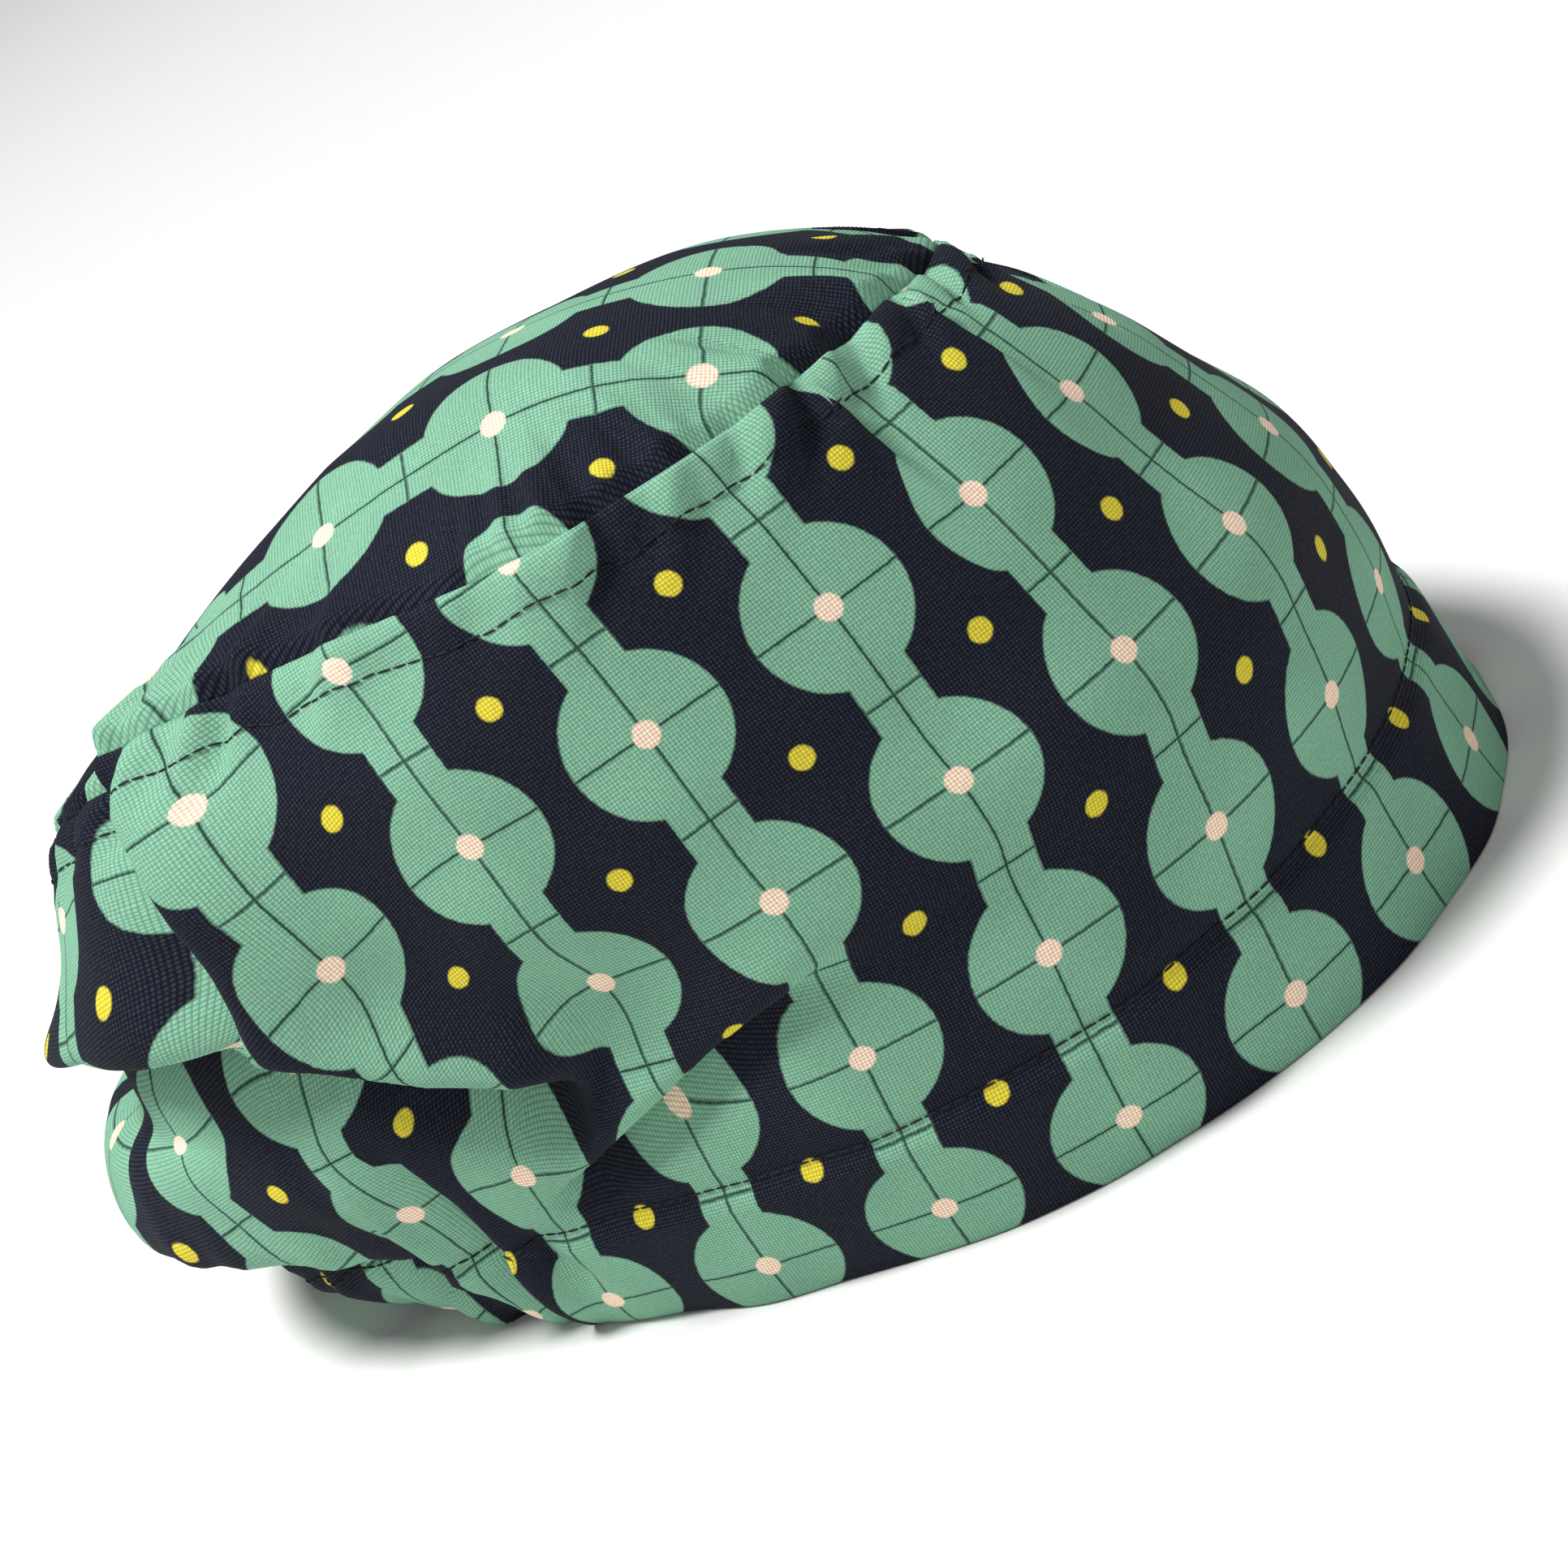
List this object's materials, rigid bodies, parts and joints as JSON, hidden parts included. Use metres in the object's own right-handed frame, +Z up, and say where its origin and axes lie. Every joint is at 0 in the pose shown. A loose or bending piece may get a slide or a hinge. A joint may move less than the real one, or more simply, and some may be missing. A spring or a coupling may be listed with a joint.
{
  "type": "surgical scrub cap",
  "caption": "Soft printed-cotton scrub cap: a pleated side band, an oval crown and an elastic-gathered back hem, worn over the hair in surgery.",
  "frame": {"origin": "middle of the cap's outline on the surface it rests on, at the height of the hem's fold", "axes": "+Z up from the rim to the crown, -Y towards the front of the cap, +X towards the wearer's left"},
  "size_m": [0.1898, 0.2576, 0.1498],
  "materials": {
    "band_cotton": "plain-woven printed cotton, matte",
    "crown_cotton": "plain-woven printed cotton, matte",
    "facing_cotton": "plain-woven cotton, matte"
  },
  "bodies": {
    "root": {"side_band": "band_cotton", "crown": "crown_cotton", "hem_facing": "facing_cotton"}
  },
  "joints": []
}
